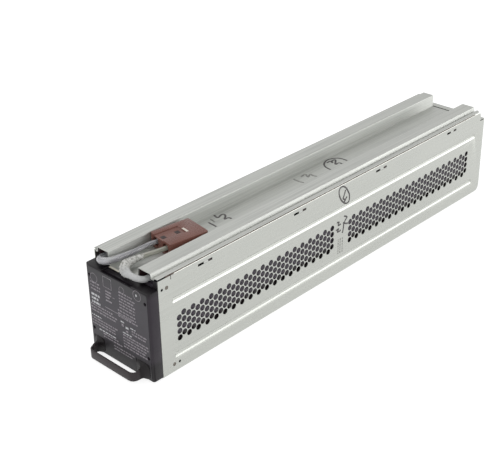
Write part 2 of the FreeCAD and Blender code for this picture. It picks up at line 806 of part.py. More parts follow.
def housing_point(u, v, z):
    # A point given across, along and above the connector, in the object's stations.
    yaw = math.radians(housing_yaw)
    return Vector(housing_x + u * math.cos(yaw) + v * math.sin(yaw),
                  housing_y - u * math.sin(yaw) + v * math.cos(yaw), z)


def turned_with_housing(shape):
    shape.rotate(Vector(0, 0, 0), Vector(0, 0, 1), -housing_yaw)
    shape.translate(Vector(housing_x, housing_y, channel_floor))
    return shape


def connector_housing():
    # A block with two wire bores at its front, two mating mouths at its rear and a
    # shallow trough with two slots in its top.
    half_w, half_l, mid = housing_width / 2, housing_length / 2, housing_height / 2
    body = rounded_rectangle(-half_w, half_w, -half_l, half_l, housing_corner, level,
                             Vector(0, 0, 0), Vector(0, 0, housing_height))
    cuts = [box(trough_left, trough_right, -half_l - 1, -half_l + trough_length,
                housing_height - trough_depth, housing_height + 1)]
    for distance in trough_holes:
        cuts.append(box(trough_hole_left, trough_hole_left + trough_hole_width, -half_l + distance,
                        -half_l + distance + trough_hole_length, mid, housing_height + 1))
    for u in pole_sides:
        cuts.append(cylinder(wire_bore, wire_bore_depth + 1, Vector(u, -half_l - 1, mid), Vector(0, 1, 0)))
        cuts.append(box(u - mouth_width / 2, u + mouth_width / 2, half_l - mouth_depth, half_l + 1,
                        mid - mouth_height / 2, mid + mouth_height / 2))
    return turned_with_housing(body.cut(cuts))


def connector_contact(u):
    # A crimp barrel round the wire with a flat blade that reaches into the mouth.
    half_l, mid = housing_length / 2, housing_height / 2
    start = -half_l + barrel_start
    barrel = cylinder(barrel_diameter, barrel_length, Vector(u, start, mid), Vector(0, 1, 0))
    blade = box(u - blade_width / 2, u + blade_width / 2, start + barrel_length - 1,
                half_l - blade_end, mid - blade_drop - blade_thickness / 2,
                mid - blade_drop + blade_thickness / 2)
    limit = cylinder(wire_bore - touch_gap, wire_bore_depth, Vector(u, -half_l, mid), Vector(0, 1, 0))
    limit = limit.fuse(box(u - mouth_width / 2, u + mouth_width / 2, half_l - mouth_depth, half_l,
                           0, housing_height))
    return turned_with_housing(barrel.fuse(blade.common(limit)).removeSplitter())


def connector_springs():
    # A leaf on the floor of each mouth, folded back on itself at the inner end.
    half_l, mid = housing_length / 2, housing_height / 2
    floor = mid - mouth_height / 2
    inner = half_l - mouth_depth + touch_gap
    tip = inner + spring_tip
    outline = ((inner, floor), (half_l - blade_end, floor), (half_l - blade_end, floor + spring_thickness),
               (inner + 3 * spring_thickness, floor + spring_thickness), (tip, floor + spring_rise),
               (tip, floor + spring_rise + spring_thickness), (inner, floor + 2 * spring_thickness))
    springs = []
    for u in pole_sides:
        spring = prism(outline, along, Vector(u - spring_width / 2, 0, 0), Vector(spring_width, 0, 0))
        springs.append(turned_with_housing(spring))
    return Part.makeCompound(springs)


def tube(route, diameter, name):
    # Straight runs joined by arcs that touch them, as large as the runs allow, then
    # laid out as short straight pieces.
    points = [Vector(*point) for point in route]
    edges, radii = [], []
    last = points[0]
    for index in range(1, len(points) - 1):
        before = points[index] - points[index - 1]
        after = points[index + 1] - points[index]
        shorter = min(before.Length, after.Length)
        half_turn = before.getAngle(after) / 2
        radius = 0.45 * shorter / math.tan(half_turn)
        radii.append(round(radius, 1))
        way_in, way_out = Vector(before), Vector(after)
        way_in.normalize()
        way_out.normalize()
        begin = points[index] - way_in * (0.45 * shorter)
        end = points[index] + way_out * (0.45 * shorter)
        inward = way_out - way_in
        inward.normalize()
        centre = points[index] + inward * (radius / math.cos(half_turn))
        middle = centre - inward * radius
        edges.append(Part.LineSegment(last, begin).toShape())
        edges.append(Part.Arc(begin, middle, end).toShape())
        last = end
    edges.append(Part.LineSegment(last, points[-1]).toShape())
    path = Part.Wire(edges)
    solid = bent_wire(path.discretize(Number=lead_stations), diameter, lead_sides)
    expected = path.Length * lead_sides * diameter ** 2 / 8 * math.sin(2 * math.pi / lead_sides)
    print(name, "length", round(path.Length, 1), "radii", radii,
          "volume over section times length", round(solid.Volume / expected, 4))
    return solid


def lead_route(route, u):
    # The route by hand, then straight into the connector's bore.
    end = barrel_start - housing_length / 2
    entry = -housing_length / 2 - lead_straight
    lifted = tuple((x, y, channel_floor + rise) for x, y, rise in route)
    return lifted + (tuple(housing_point(u, entry, socket_z)), tuple(housing_point(u, end, socket_z)))


def lead_left_inner():
    # The rest of the left lead, to the first battery.
    x, y, rise = lead_left_route[0]
    z = channel_floor + rise
    terminal = terminal_y(0)
    wire = bent_wire(((x, y, z), (terminal_left, terminal, z)), inner_lead_wire)
    return wired_boots(wire, (terminal_left, terminal))


def lead_right_inner():
    # The long lead from the last battery, laid along the right rail.
    x, y, rise = lead_right_route[0]
    z = channel_floor + rise
    terminal = terminal_y(battery_count - 1)
    run_z = battery_top + inner_lead_wire / 2
    points = ((x, y, z), (x, y + inner_lead_wire, z), (return_lead_x, y + 4 * inner_lead_wire, run_z),
              (return_lead_x, terminal - 2 * inner_lead_wire, run_z),
              (terminal_right + boot_width / 2, terminal, run_z + boot_width / 2))
    return wired_boots(bent_wire(points, inner_lead_wire), (terminal_right, terminal))


def flat_pieces():
    # Liner under the row, insulator over it, and a foam pad at each end.
    left = (body_width - battery_width) / 2
    right = body_width - left
    pad = (left + pad_side_margin, right - pad_side_margin, pad_bottom, battery_top - pad_top_margin)
    return {
        "base_liner": box(left, right, row_start, tray_rear - rear_corner - touch_gap, sheet, battery_floor),
        "top_insulator": box(channel_left + insulator_margin, channel_right - insulator_margin,
                             row_start + insulator_margin, cover_rear - insulator_margin,
                             battery_top, battery_top + insulator_thickness),
        "front_foam_pad": box(pad[0], pad[1], row_start - pad_thickness, row_start, pad[2], pad[3]),
        "rear_foam_pad": box(pad[0] + sheet, pad[1] - sheet, row_end, tray_rear - sheet, pad[2], pad[3]),
    }


def save(name, shape):
    shape.translate(Vector(-body_width / 2, handle_reach - overall_length / 2, 0))
    solids = len(shape.Solids)
    if not shape.isValid():
        print("not valid:", name)
    Part.Shape(shape).exportStep(f"parts/{name}.step")
    print(name, "solids", solids, "volume", round(shape.Volume, 1))


pieces = {
    "tray_shell": tray_shell(),
    "top_cover": top_cover(),
    "front_bezel": front_bezel(),
    "bezel_screws": bezel_screws(),
    "front_label": front_label(),
    "pull_handle": pull_handle(),
    "handle_screws": handle_screws(),
    "connector_housing": connector_housing(),
    "connector_contact_left": connector_contact(pole_sides[0]),
    "connector_contact_right": connector_contact(pole_sides[1]),
    "connector_springs": connector_springs(),
    "lead_left": tube(lead_route(lead_left_route, pole_sides[0]), lead_left_diameter, "lead_left"),
    "lead_right": tube(lead_route(lead_right_route, pole_sides[1]), lead_right_diameter, "lead_right"),
    "lead_left_inner": lead_left_inner(),
    "lead_right_inner": lead_right_inner(),
}
pieces.update(flat_pieces())
for number in range(battery_count):
    pieces[f"battery_{number + 1}"] = battery(number)
for number in range(battery_count - 1):
    pieces[f"jumper_{number + 1}"] = jumper(number)
for name, shape in pieces.items():
    save(name, shape)
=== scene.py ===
import math
import random

import bpy
from mathutils import Matrix, Vector, noise


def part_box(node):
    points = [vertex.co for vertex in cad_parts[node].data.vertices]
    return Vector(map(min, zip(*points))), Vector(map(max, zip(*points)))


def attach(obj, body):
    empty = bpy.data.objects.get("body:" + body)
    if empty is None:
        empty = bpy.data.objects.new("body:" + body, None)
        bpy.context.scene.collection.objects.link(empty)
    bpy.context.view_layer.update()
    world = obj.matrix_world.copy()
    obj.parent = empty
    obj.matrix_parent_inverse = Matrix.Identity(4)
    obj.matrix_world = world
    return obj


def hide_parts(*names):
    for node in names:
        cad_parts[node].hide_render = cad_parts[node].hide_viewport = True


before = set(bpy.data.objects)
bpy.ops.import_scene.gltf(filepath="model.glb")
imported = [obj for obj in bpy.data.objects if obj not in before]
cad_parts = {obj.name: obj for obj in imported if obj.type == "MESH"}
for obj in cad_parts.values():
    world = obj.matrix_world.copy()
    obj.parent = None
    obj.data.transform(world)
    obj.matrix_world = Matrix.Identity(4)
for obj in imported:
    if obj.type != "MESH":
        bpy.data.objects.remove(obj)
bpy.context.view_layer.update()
mm = 0.001

# A battery cartridge: folded steel tray and cover, a moulded front, and a connector on two leads.
# Places are in millimetres from the body's left side, the front's face and the underside.
trayLow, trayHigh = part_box("tray_shell")
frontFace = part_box("front_bezel")[0].y
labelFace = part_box("front_label")[0].y
bodyWidth = (trayHigh.x - trayLow.x) / mm
channelFloor = 103.8
markProud = 0.03  # how far a flat mark stands off its face
toRight, toRear, upward = Vector((1, 0, 0)), Vector((0, 1, 0)), Vector((0, 0, 1))


def at(x, y, z):
    return Vector((trayLow.x + x * mm, frontFace + y * mm, z * mm))


# Tools of the bench

def only(piece):
    if bpy.context.object and bpy.context.object.mode != "OBJECT":
        bpy.ops.object.mode_set(mode="OBJECT")
    bpy.ops.object.select_all(action="DESELECT")
    piece.select_set(True)
    bpy.context.view_layer.objects.active = piece


def settle(piece):  # the place and size go into the mesh
    only(piece)
    bpy.ops.object.transform_apply(location=True, rotation=True, scale=True)


def apply(piece, kind, **settings):
    only(piece)
    modifier = piece.modifiers.new(kind.lower(), kind)
    for name, value in settings.items():
        setattr(modifier, name, value)
    bpy.ops.object.modifier_apply(modifier=modifier.name)


def repeat(piece, count, step):  # copies in a row, each a step further
    apply(piece, "ARRAY", count=count, use_relative_offset=False, use_constant_offset=True,
          constant_offset_displace=step)


def cut(piece, cutter):
    apply(piece, "BOOLEAN", operation="DIFFERENCE", solver="EXACT", object=cutter)
    bpy.data.objects.remove(cutter)


def joined(parts, name):
    bpy.ops.object.select_all(action="DESELECT")
    for part in parts:
        part.select_set(True)
    bpy.context.view_layer.objects.active = parts[0]
    bpy.ops.object.join()
    parts[0].name = name
    return parts[0]


smoothUpTo = {"tray": 15, "cover": 25, "moulding": 35, "screw": 40, "lead": 60}  # degrees between faces


def smooth(piece, kind):
    only(piece)
    bpy.ops.object.shade_smooth_by_angle(angle=math.radians(smoothUpTo[kind]))


def linked(name, data):
    piece = bpy.data.objects.new(name, data)
    bpy.context.scene.collection.objects.link(piece)
    return piece


mergedWithin = 0.002  # millimetres between points
flatWithin = 0.5  # degrees between faces


def copyOfNode(node, name):  # merged, so that its faces hang together
    piece = linked(name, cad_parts[node].data.copy())
    piece.data.materials.clear()
    only(piece)
    bpy.ops.object.mode_set(mode="EDIT")
    bpy.ops.mesh.select_all(action="SELECT")
    bpy.ops.mesh.remove_doubles(threshold=mergedWithin * mm)
    bpy.ops.mesh.dissolve_limited(angle_limit=math.radians(flatWithin))
    bpy.ops.object.mode_set(mode="OBJECT")
    return piece


def smoothLine(name, places):  # a curve drawn near the places, from the first to the last
    curve = bpy.data.curves.new(name, "CURVE")
    curve.dimensions = "3D"
    spline = curve.splines.new("NURBS")
    spline.points.add(len(places) - 1)
    for point, place in zip(spline.points, places):
        point.co = (*place, 1)
    spline.order_u = 3
    spline.use_endpoint_u = True
    return curve


def flatMark(material, corner, along, up, width, height, proud=markProud):
    # A thin plate lying on a face: along and up are the face's own directions.
    out = along.cross(up)
    middle = corner + (along * width / 2 + up * height / 2) * mm
    bpy.ops.mesh.primitive_cube_add(size=1)
    mark = bpy.context.object
    turn = Matrix((along * width, up * height, out * 2 * proud)).transposed().to_4x4()
    mark.matrix_world = Matrix.Translation(middle) @ turn @ Matrix.Scale(mm, 4)
    mark.data.materials.append(material)
    return mark


def done(piece, slot, *materials, replaced=()):
    for material in materials:
        if material.name not in [m.name for m in piece.data.materials if m]:
            piece.data.materials.append(material)
    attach(piece, "root")
    if replaced:
        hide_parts(*replaced)


# Camera, floor and light

camera = {"lens": 78.13, "sensor": 36.0, "azimuth": 43.903, "elevation": 28.46, "roll": -0.971,
          "place": (774.8, -564.7, 655.4), "nearest": 0.01}


def makeCamera():
    turn, rise, roll = (math.radians(camera[key]) for key in ("azimuth", "elevation", "roll"))
    back = Vector((math.sin(turn) * math.cos(rise), -math.cos(turn) * math.cos(rise), math.sin(rise)))
    right = Vector((math.cos(turn), math.sin(turn), 0))
    up = back.cross(right)
    axes = Matrix((right * math.cos(roll) + up * math.sin(roll),
                   up * math.cos(roll) - right * math.sin(roll),
                   back))
    bpy.ops.object.camera_add()
    eye = bpy.context.object
    eye.data.lens = camera["lens"]
    eye.data.sensor_width = camera["sensor"]
    eye.data.clip_start = camera["nearest"]
    eye.matrix_world = Matrix.Translation(at(*camera["place"])) @ axes.transposed().to_4x4()
    bpy.context.scene.camera = eye
    print("camera placed")


studio = {
    "sky": ((0.0, 0.9), (0.22, 0.74), (0.5, 0.9), (1.0, 0.66)),  # height of the ray, strength
    "floorSize": 14,
    "floorColour": (0.36, 0.36, 0.36, 1),
    "floorRoughness": 0.9,
    "floorGlow": 0.8,
    "lamps": {  # place, aim, size in metres, power in watts
        "softboxBehindRight": ((1.45, 1.3, 0.5), (0, 0.05, 0.3), (1.5, 0.9), 10.5),
        "softboxAboveLeft": ((-1.1, -0.3, 1.7), (0, 0, 0.05), (1.2, 1.2), 5),
        "frontFill": ((0.5, -1.7, 0.8), (0, -0.25, 0.05), (1.0, 1.0), 3.5),
    },
}


def seenDirectly(tree):  # 1 for camera, glossy and transmission rays
    path = tree.nodes.new("ShaderNodeLightPath")
    total = path.outputs["Is Camera Ray"]
    for ray in ("Is Glossy Ray", "Is Transmission Ray"):
        either = tree.nodes.new("ShaderNodeMath")
        either.operation = "MAXIMUM"
        tree.links.new(total, either.inputs[0])
        tree.links.new(path.outputs[ray], either.inputs[1])
        total = either.outputs[0]
    return total


def makeSky():
    world = bpy.data.worlds.new("studio")
    bpy.context.scene.world = world
    world.use_nodes = True
    tree = world.node_tree
    ray = tree.nodes.new("ShaderNodeTexCoord")
    split = tree.nodes.new("ShaderNodeSeparateXYZ")
    sky = tree.nodes.new("ShaderNodeValToRGB")
    for _ in studio["sky"][2:]:  # a new ramp has two stops
        sky.color_ramp.elements.new(0.5)
    for element, (height, strength) in zip(sky.color_ramp.elements, studio["sky"]):
        element.position = height
        element.color = (strength, strength, strength, 1)
    tree.links.new(ray.outputs["Generated"], split.inputs[0])
    tree.links.new(split.outputs["Z"], sky.inputs["Fac"])
    tree.links.new(sky.outputs["Color"], tree.nodes["Background"].inputs["Color"])


def makeFloor():
    # It glows for the camera, in reflections and through clear pieces, but lights nothing by itself.
    bpy.ops.mesh.primitive_plane_add(size=studio["floorSize"])
    floor = bpy.context.object
    floor.name = "floor"
    paint = bpy.data.materials.new("floorPaint")
    paint.use_nodes = True
    shader = paint.node_tree.nodes["Principled BSDF"]
    shader.inputs["Base Color"].default_value = studio["floorColour"]
    shader.inputs["Roughness"].default_value = studio["floorRoughness"]
    shader.inputs["Specular IOR Level"].default_value = 0.0
    shader.inputs["Emission Color"].default_value = (1, 1, 1, 1)
    glow = paint.node_tree.nodes.new("ShaderNodeMath")
    glow.operation = "MULTIPLY"
    glow.inputs[1].default_value = studio["floorGlow"]
    paint.node_tree.links.new(seenDirectly(paint.node_tree), glow.inputs[0])
    paint.node_tree.links.new(glow.outputs[0], shader.inputs["Emission Strength"])
    floor.data.materials.append(paint)


def makeStudio():
    makeSky()
    makeFloor()
    for name, (place, aim, size, power) in studio["lamps"].items():
        bpy.ops.object.light_add(type="AREA", location=place)
        lamp = bpy.context.object
        lamp.name = name
        lamp.data.shape = "RECTANGLE"
        lamp.data.size, lamp.data.size_y = size
        lamp.data.energy = power
        lamp.rotation_euler = (Vector(aim) - Vector(place)).to_track_quat("-Z", "Y").to_euler()
    print("studio lit by", len(studio["lamps"]), "lamps")


# Finishes

def newGroup(name, inputs, outputs):
    group = bpy.data.node_groups.new(name, "ShaderNodeTree")
    for label, kind, value in inputs:
        socket = group.interface.new_socket(label, in_out="INPUT", socket_type=kind)
        if value is not None:
            socket.default_value = value
    for label, kind in outputs:
        group.interface.new_socket(label, in_out="OUTPUT", socket_type=kind)
    return group, group.nodes.new("NodeGroupInput"), group.nodes.new("NodeGroupOutput")


def fleckGroup():  # noise over a stretched coordinate, from 0 to 1
    group, given, result = newGroup("fleck", [("Vector", "NodeSocketVector", None),
                                              ("Along X", "NodeSocketFloat", 1.0),
                                              ("Along Y", "NodeSocketFloat", 1.0),
                                              ("Along Z", "NodeSocketFloat", 1.0),
                                              ("Low", "NodeSocketFloat", 0.3),
                                              ("High", "NodeSocketFloat", 0.7)],
                                    [("Mask", "NodeSocketFloat")])
    scale = group.nodes.new("ShaderNodeCombineXYZ")
    for axis in "XYZ":
        group.links.new(given.outputs["Along " + axis], scale.inputs[axis])
    stretch = group.nodes.new("ShaderNodeVectorMath")
    stretch.operation = "MULTIPLY"
    group.links.new(given.outputs["Vector"], stretch.inputs[0])
    group.links.new(scale.outputs[0], stretch.inputs[1])
    cloud = group.nodes.new("ShaderNodeTexNoise")
    cloud.inputs["Scale"].default_value = 1.0
    cloud.inputs["Detail"].default_value = 4.0
    group.links.new(stretch.outputs[0], cloud.inputs["Vector"])
    spread = group.nodes.new("ShaderNodeMapRange")
    group.links.new(cloud.outputs["Fac"], spread.inputs["Value"])
    group.links.new(given.outputs["Low"], spread.inputs["From Min"])
    group.links.new(given.outputs["High"], spread.inputs["From Max"])
    group.links.new(spread.outputs["Result"], result.inputs["Mask"])
    return group


fleck = fleckGroup()


class Finish:
    # One Principled material, and short ways to place its nodes.
    def __init__(self, name, roughness=0.5, **settings):
        self.material = bpy.data.materials.new(name)
        self.material.use_nodes = True
        self.tree = self.material.node_tree
        self.shader = self.tree.nodes["Principled BSDF"]
        self.shader.inputs["Roughness"].default_value = roughness
        for label, value in settings.items():
            self.shader.inputs[label.replace("_", " ")].default_value = value
        self.place = self.tree.nodes.new("ShaderNodeTexCoord").outputs["Object"]

    def followLead(self):  # from here on, patterns lie on the lead's own UV map
        self.place = self.tree.nodes.new("ShaderNodeUVMap").outputs["UV"]

    def fleck(self, x, y, z, low=0.3, high=0.7):
        node = self.tree.nodes.new("ShaderNodeGroup")
        node.node_tree = fleck
        self.tree.links.new(self.place, node.inputs["Vector"])
        for label, value in (("Along X", x), ("Along Y", y), ("Along Z", z), ("Low", low), ("High", high)):
            node.inputs[label].default_value = value
        return node.outputs["Mask"]

    def speckle(self, fineness, low=0.3, high=0.7):  # alike in all directions
        return self.fleck(fineness, fineness, fineness, low, high)

    def blend(self, mask, first, second):
        node = self.tree.nodes.new("ShaderNodeMix")
        node.data_type = "RGBA"
        self.tree.links.new(mask, node.inputs["Factor"])
        for socket, value in ((node.inputs[6], first), (node.inputs[7], second)):
            if isinstance(value, tuple):
                socket.default_value = (*value, 1)
            else:
                self.tree.links.new(value, socket)
        return node.outputs[2]

    def ranged(self, mask, low, high):
        node = self.tree.nodes.new("ShaderNodeMapRange")
        node.inputs["To Min"].default_value = low
        node.inputs["To Max"].default_value = high
        self.tree.links.new(mask, node.inputs["Value"])
        return node.outputs["Result"]

    def shaded(self, axis, ends, first, second):  # the first colour before the ends, the second past them
        split = self.tree.nodes.new("ShaderNodeSeparateXYZ")
        self.tree.links.new(self.place, split.inputs[0])
        step = self.tree.nodes.new("ShaderNodeMapRange")
        step.inputs["From Min"].default_value = ends[0]
        step.inputs["From Max"].default_value = ends[1]
        self.tree.links.new(split.outputs[axis], step.inputs["Value"])
        return self.blend(step.outputs["Result"], first, second)

    def heightShaded(self, heights, first, second):
        return self.shaded("Z", [height * mm for height in heights], first, second)

    def feed(self, label, output):
        self.tree.links.new(output, self.shader.inputs[label])

    def bump(self, height, depth, before=None):
        node = self.tree.nodes.new("ShaderNodeBump")
        node.inputs["Strength"].default_value = 1.0
        node.inputs["Distance"].default_value = depth * mm
        self.tree.links.new(height, node.inputs["Height"])
        if before:
            self.tree.links.new(before, node.inputs["Normal"])
        return node.outputs["Normal"]


cloudy, fine = 60, 1800  # the larger the number, the smaller a pattern's spots
rolling = {"blotches": (35, 14, 35), "streaks": (900, 6, 900), "grain": (1500, 160, 1500)}
steels = {  # shade, plain, pale, depth of the rolling lines, roughness from and to
    "traySteel": ((0.485, 0.497, 0.465), (0.512, 0.524, 0.49), (0.524, 0.536, 0.503), 0.0004, 0.25, 0.31),
    "coverSteel": ((0.46, 0.47, 0.45), (0.54, 0.55, 0.525), (0.62, 0.63, 0.6), 0.0016, 0.5, 0.58),
}


def galvanisedSteel(name):
    finish = Finish(name, Metallic=0.9)
    blotches, streaks, grain = (finish.fleck(*pattern) for pattern in rolling.values())
    shade, plain, pale, depth, low, high = steels[name]
    colour = finish.blend(blotches, shade, plain)
    finish.feed("Base Color", finish.blend(streaks, colour, pale))
    finish.feed("Roughness", finish.ranged(blotches, low, high))
    rolled = finish.bump(streaks, depth)
    finish.feed("Normal", finish.bump(grain, 2 * depth, rolled))
    return finish.material


plastics = {  # dark, light, roughness from and to, depth of the texture
    "brownPlastic": ((0.142, 0.054, 0.04), (0.17, 0.068, 0.051), 0.22, 0.32, 0.003),
    "bootSleeve": ((0.26, 0.035, 0.03), (0.38, 0.06, 0.045), 0.45, 0.6, 0.02),
    "leadInsulation": ((0.13, 0.14, 0.095), (0.19, 0.2, 0.14), 0.3, 0.45, 0.01),
    "linerFilm": ((0.7, 0.67, 0.57), (0.82, 0.79, 0.7), 0.3, 0.4, 0.005),
    # Near black, for boards of painted shade inside the rails' mouths.
    "mouthShade": ((0.03, 0.012, 0.015), (0.05, 0.02, 0.024), 0.4, 0.55, 0.01),
    "paleBarFinish": ((0.55, 0.5, 0.43), (0.72, 0.67, 0.6), 0.2, 0.35, 0.01),
    # Near black, for patches of painted shade in the gaps behind the hook tabs and in the connector's holes.
    "paintedShadeBlack": ((0.012, 0.005, 0.004), (0.03, 0.012, 0.01), 0.4, 0.6, 0.02),
}


def mouldedPlastic(name):
    finish = Finish(name)
    dark, light, low, high, depth = plastics[name]
    texture = finish.speckle(fine)
    finish.feed("Base Color", finish.blend(finish.speckle(cloudy), dark, light))
    finish.feed("Roughness", finish.ranged(texture, low, high))
    finish.feed("Normal", finish.bump(texture, depth))
    return finish.material


bezelLook = {  # painted shade: darker at the top, under the leads, and low down, round the handle
    "plain": ((0.024, 0.019, 0.026), (0.034, 0.027, 0.036)),
    "low": (0.009, 0.007, 0.009), "lowShadeHeights": (20, 27),
    "top": (0.008, 0.006, 0.008), "topShadeHeights": (98, 104),
    "roughness": (0.36, 0.5), "texture": 0.03,
}
# The label film carries the same painted shade: darker low down and towards the top.
filmLook = {
    "plain": ((0.028, 0.024, 0.032), (0.036, 0.031, 0.041)),
    "low": (0.018, 0.016, 0.019), "lowShadeHeights": (14, 34),
    "top": (0.018, 0.017, 0.019), "topShadeHeights": (84, 103),
    "roughness": (0.4, 0.52), "texture": 0,
}


def frontFinish(name, look, **settings):
    finish = Finish(name, **settings)
    plain = finish.blend(finish.speckle(cloudy), *look["plain"])
    # The low and top colours are painted shade, laid over the plain colour by height.
    low = finish.heightShaded(look["lowShadeHeights"], look["low"], plain)
    finish.feed("Base Color", finish.heightShaded(look["topShadeHeights"], low, look["top"]))
    texture = finish.speckle(fine)
    finish.feed("Roughness", finish.ranged(texture, *look["roughness"]))
    if look["texture"]:
        finish.feed("Normal", finish.bump(texture, look["texture"]))
    return finish.material


def blackPlastic():
    return frontFinish("blackPlastic", bezelLook, Specular_IOR_Level=0.3)


def labelFilm():
    return frontFinish("labelFilm", filmLook)


handleLook = {"bar": (0.046, 0.038, 0.04), "root": (0.009, 0.007, 0.008), "barTo": -6.5, "rootFrom": -4.5,
              "texture": 0.02}


def handlePlastic():
    # The roots lie in the recess's shadow, so they are darker than the bar.
    finish = Finish("handlePlastic", roughness=0.4, Specular_IOR_Level=0.25)
    ends = [frontFace + handleLook[end] * mm for end in ("barTo", "rootFrom")]
    finish.feed("Base Color", finish.shaded("Y", ends, handleLook["bar"], handleLook["root"]))
    finish.feed("Normal", finish.bump(finish.speckle(fine), handleLook["texture"]))
    return finish.material


batteryLook = {"low": (0.011, 0.005, 0.007), "high": ((0.075, 0.062, 0.082), (0.10, 0.085, 0.108)),
               "heights": (39.5, 42.5), "spots": 90, "grain": 1500, "texture": 0.01}


def batteryCase():
    # Dark below the lowest holes, where no light reaches, and violet grey above.
    finish = Finish("batteryCase", roughness=0.5)
    upper = finish.blend(finish.speckle(batteryLook["spots"]), *batteryLook["high"])
    finish.feed("Base Color", finish.heightShaded(batteryLook["heights"], batteryLook["low"], upper))
    finish.feed("Normal", finish.bump(finish.speckle(batteryLook["grain"]), batteryLook["texture"]))
    return finish.material


metals = {  # fineness of the tarnish, dark, light, roughness from and to
    "silveredCopper": (300, (0.62, 0.6, 0.55), (0.75, 0.73, 0.69), 0.18, 0.34),
    "zincPlate": (700, (0.05, 0.05, 0.055), (0.11, 0.11, 0.12), 0.3, 0.5),
}


def platedMetal(name):
    finish = Finish(name, Metallic=1.0)
    fineness, dark, light, low, high = metals[name]
    tarnish = finish.speckle(fineness)
    finish.feed("Base Color", finish.blend(tarnish, dark, light))
    finish.feed("Roughness", finish.ranged(tarnish, low, high))
    return finish.material


jacketLook = {"tint": (0.96, 0.96, 0.965, 1), "clear": 0.86, "spots": 260, "roughness": (0.06, 0.14),
              "ripple": (400, 60, 400), "depth": 0.003}


def clearJacket():
    finish = Finish("clearJacket", Base_Color=jacketLook["tint"], IOR=1.42,
                    Transmission_Weight=jacketLook["clear"])
    finish.feed("Roughness", finish.ranged(finish.speckle(jacketLook["spots"]), *jacketLook["roughness"]))
    finish.feed("Normal", finish.bump(finish.fleck(*jacketLook["ripple"]), jacketLook["depth"]))
    return finish.material


# The dark colour is painted shade in the creases of the crumpled sleeve. The light colour is the sleeve's own
# milky tone.
sleeveLook = {"dark": (0.34, 0.34, 0.31), "light": (0.74, 0.74, 0.71), "tight": (0.66, 0.67, 0.67),
              "tightTo": (3.3, 4.7),  # centimetres along the lead
              "creases": (330, 0.38, 0.52), "roughness": (0.06, 0.2), "depth": 0.3}


def milkySleeve():
    finish = Finish("milkySleeve", IOR=1.4, Transmission_Weight=0.2)
    crease = finish.speckle(*sleeveLook["creases"])
    creaseShaded = finish.blend(crease, sleeveLook["dark"], sleeveLook["light"])
    finish.followLead()
    finish.feed("Base Color", finish.shaded("Y", sleeveLook["tightTo"], sleeveLook["tight"], creaseShaded))
    finish.feed("Roughness", finish.ranged(crease, *sleeveLook["roughness"]))
    finish.feed("Normal", finish.bump(crease, sleeveLook["depth"]))
    return finish.material


strandLook = {"dark": (0.17, 0.17, 0.19), "light": (0.3, 0.3, 0.33), "bright": (0.56, 0.56, 0.58),
              "broad": (4, 0.3, 1, 0.47, 0.53), "thin": (40, 1.5, 1), "depth": 0.05}


def strandedCore():
    # Streaks that run along the lead.
    finish = Finish("strandedCore", roughness=0.3, Coat_Weight=0.5, Coat_Roughness=0.12)
    finish.followLead()
    broad, thin = finish.fleck(*strandLook["broad"]), finish.fleck(*strandLook["thin"])
    colour = finish.blend(thin, strandLook["dark"], strandLook["light"])
    finish.feed("Base Color", finish.blend(broad, colour, strandLook["bright"]))
    finish.feed("Normal", finish.bump(thin, strandLook["depth"]))
    return finish.material


wireLook = {"dark": (0.2, 0.2, 0.16), "light": (0.48, 0.48, 0.42), "streaks": (12, 0.8, 1), "depth": 0.08}


def oliveWire():
    finish = Finish("oliveWire", roughness=0.28)
    finish.followLead()
    streak = finish.fleck(*wireLook["streaks"])
    finish.feed("Base Color", finish.blend(streak, wireLook["dark"], wireLook["light"]))
    finish.feed("Normal", finish.bump(streak, wireLook["depth"]))
    return finish.material


foamLook = {"dark": (0.02, 0.02, 0.022), "light": (0.06, 0.06, 0.065), "cells": 900, "depth": 0.3}


def softFoam():
    finish = Finish("softFoam", roughness=0.95, Sheen_Weight=0.2)
    cells = finish.speckle(foamLook["cells"])
    finish.feed("Base Color", finish.blend(cells, foamLook["dark"], foamLook["light"]))
    finish.feed("Normal", finish.bump(cells, foamLook["depth"]))
    return finish.material


inkSpots = 700
inks = {  # faint, full
    "inkBright": ((0.42, 0.42, 0.44), (0.85, 0.86, 0.88)),
    "inkDim": ((0.15, 0.135, 0.15), (0.43, 0.39, 0.43)),
    "marker": ((0.025, 0.022, 0.025), (0.13, 0.12, 0.12)),
    "paleMarker": ((0.12, 0.12, 0.11), (0.32, 0.32, 0.3)),
    "dimpleDark": ((0.12, 0.1, 0.085), (0.24, 0.21, 0.18)),
    "seam": ((0.16, 0.09, 0.07), (0.3, 0.2, 0.16)),
}


def printInk(name):
    finish = Finish(name, roughness=0.45)
    finish.feed("Base Color", finish.blend(finish.speckle(inkSpots), *inks[name]))
    return finish.material


def makeFinishes():
    made = []
    for family, make in ((steels, galvanisedSteel), (plastics, mouldedPlastic), (metals, platedMetal),
                         (inks, printInk)):
        made += [make(name) for name in family]
    made += [make() for make in (blackPlastic, labelFilm, handlePlastic, batteryCase, clearJacket,
                                 milkySleeve, strandedCore, oliveWire, softFoam)]
    print("finishes made:", len(made))
    return {material.name: material for material in made}


# The two leads, each from its rail's mouth to the connector's bore

connector = {"middle": (44.4, 89.4), "yaw": 8.5, "length": 47.8, "height": 15.9, "poleSide": 8.9,
             "barrelStart": 3.9, "straight": 5.5}
leads = {
    "left": {"diameter": 7.6, "length": 96.6, "pole": -1,
             "route": ((12, 26, 4.8), (12, 17.8, 4.8), (12.5, 11.0, 5.5), (16.4, 6.2, 6.9),
                       (22.1, 4.9, 8.3), (27.6, 7.7, 9.2), (30.1, 14.3, 9.2), (30.5, 24, 8.6),
                       (30.7, 34.5, 7.9), (30.4, 45.5, 7.5), (30.5, 54.5, 7.7))},
    "right": {"diameter": 8.4, "length": 106.4, "pole": 1,
              "route": ((77, 27, 5.3), (77, 17.8, 5.3), (75.6, 10.8, 5.7), (70.6, 6.8, 7.0),
                        (63.8, 5.8, 7.6), (56.8, 6.2, 7.7), (50.4, 8.4, 7.6), (45.4, 13.0, 7.4),
                        (42.7, 19.8, 7.3), (42.0, 28.2, 7.3), (43.1, 37.4, 7.4), (45.4, 46.6, 7.6))},
}
